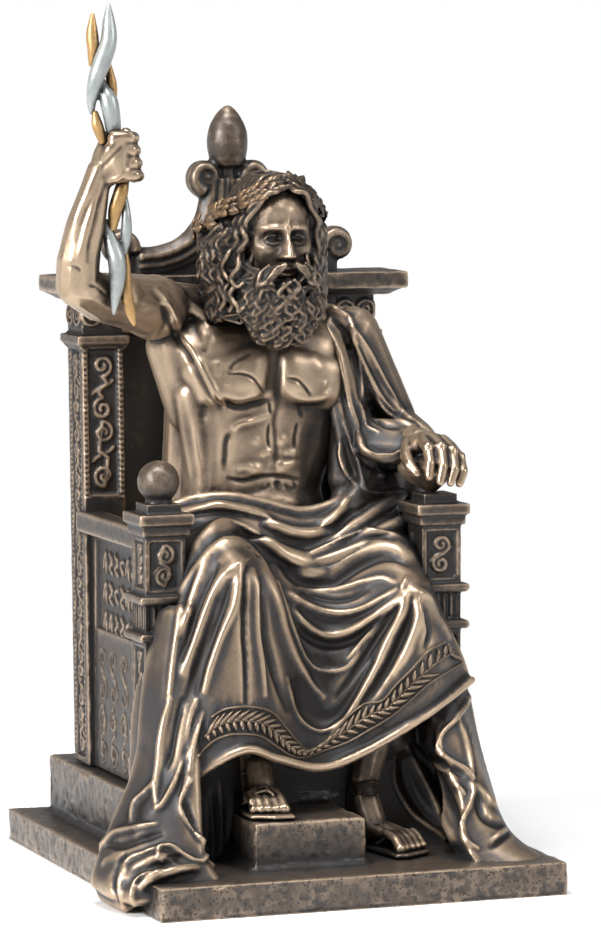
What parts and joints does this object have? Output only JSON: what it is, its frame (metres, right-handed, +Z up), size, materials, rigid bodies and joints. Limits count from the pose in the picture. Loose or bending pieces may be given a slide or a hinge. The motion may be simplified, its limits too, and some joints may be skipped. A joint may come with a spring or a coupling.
{
  "type": "enthroned classical god statuette",
  "caption": "Cold-cast bronze statuette of a bearded, draped sky god seated on a carved throne, a twisted thunderbolt in the raised hand, on a rough slab.",
  "frame": {"origin": "centre of the slab's underside, on the surface that the statuette stands on", "axes": "+Z up, the longest extent; -Y the way the figure faces; +X to the viewer's right of the front"},
  "size_m": [0.1432, 0.1555, 0.2737],
  "materials": {
    "stone_bronze": "cold-cast bronze resin with a pitted stone texture, dark patina, rubbed arrises",
    "throne_bronze": "cold-cast bronze resin, dark brown patina, warm bronze on the high carving",
    "figure_bronze": "cold-cast bronze resin, satin, warm golden bronze on high spots and blue-grey tints in the folds",
    "bolt_silver": "satin silver-blue paint",
    "bolt_gold": "satin gold-orange paint on alternate flame tongues"
  },
  "bodies": {
    "root": {"plinth": "stone_bronze", "throne": "throne_bronze", "zeus_figure": "figure_bronze", "lightning_bolt": "bolt_silver"}
  },
  "joints": []
}
